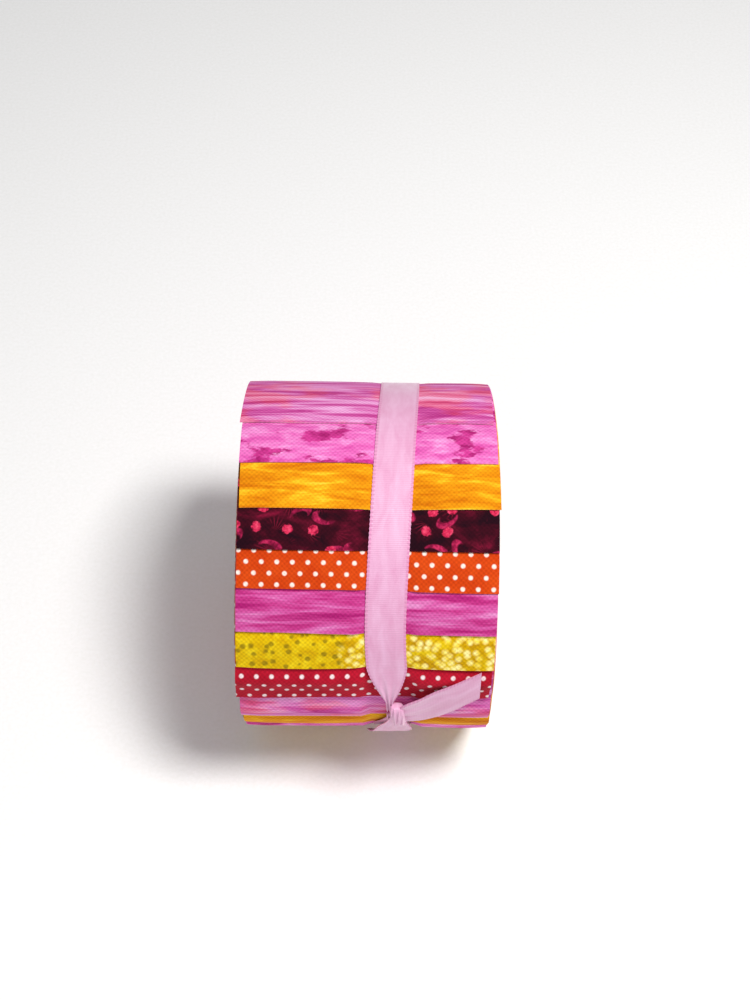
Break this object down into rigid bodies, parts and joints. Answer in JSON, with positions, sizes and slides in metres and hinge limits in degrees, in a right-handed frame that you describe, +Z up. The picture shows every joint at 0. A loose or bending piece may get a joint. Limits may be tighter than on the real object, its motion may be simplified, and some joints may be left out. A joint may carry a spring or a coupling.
{
  "type": "rolled bundle of fabric strips",
  "caption": "Roll of printed cotton strips wound together with their ends stepped round the outside like shingles, tied round the middle with a knotted satin ribbon.",
  "frame": {"origin": "on the flat resting face, straight below the middle of the roll's axis", "axes": "+X along the roll's axis, +Z up, and -Y towards the front, where the ribbon is knotted"},
  "size_m": [0.0654, 0.0977, 0.093],
  "materials": {
    "rose_streak": "matt printed cotton, rose with fine streaks",
    "pink_mottle": "matt printed cotton, pink with soft mottling",
    "amber_streak": "matt printed cotton, amber with paler streaks",
    "burgundy_leaf": "matt printed cotton, dark burgundy with small crimson motifs",
    "orange_dot": "matt printed cotton, orange with white dots",
    "magenta_streak": "matt printed cotton, magenta with fine streaks",
    "yellow_spot": "matt printed cotton, yellow with small ochre spots",
    "crimson_dot": "matt printed cotton, crimson with white dots",
    "wound_cotton": "cut edges of many cottons, wound together",
    "satin_ribbon": "woven satin with stitched edges"
  },
  "bodies": {
    "root": {"strip_01": "rose_streak", "strip_02": "pink_mottle", "strip_03": "amber_streak", "strip_04": "burgundy_leaf", "strip_05": "orange_dot", "strip_06": "magenta_streak", "strip_07": "yellow_spot", "strip_08": "crimson_dot", "strip_09": "rose_streak", "strip_10": "amber_streak", "strip_11": "pink_mottle", "strip_12": "burgundy_leaf", "strip_13": "yellow_spot", "strip_14": "magenta_streak", "strip_15": "orange_dot", "strip_16": "crimson_dot", "strip_17": "amber_streak", "strip_18": "rose_streak", "strip_19": "burgundy_leaf", "strip_20": "yellow_spot", "inner_turns": "wound_cotton", "ribbon_tie": "satin_ribbon"}
  },
  "joints": []
}
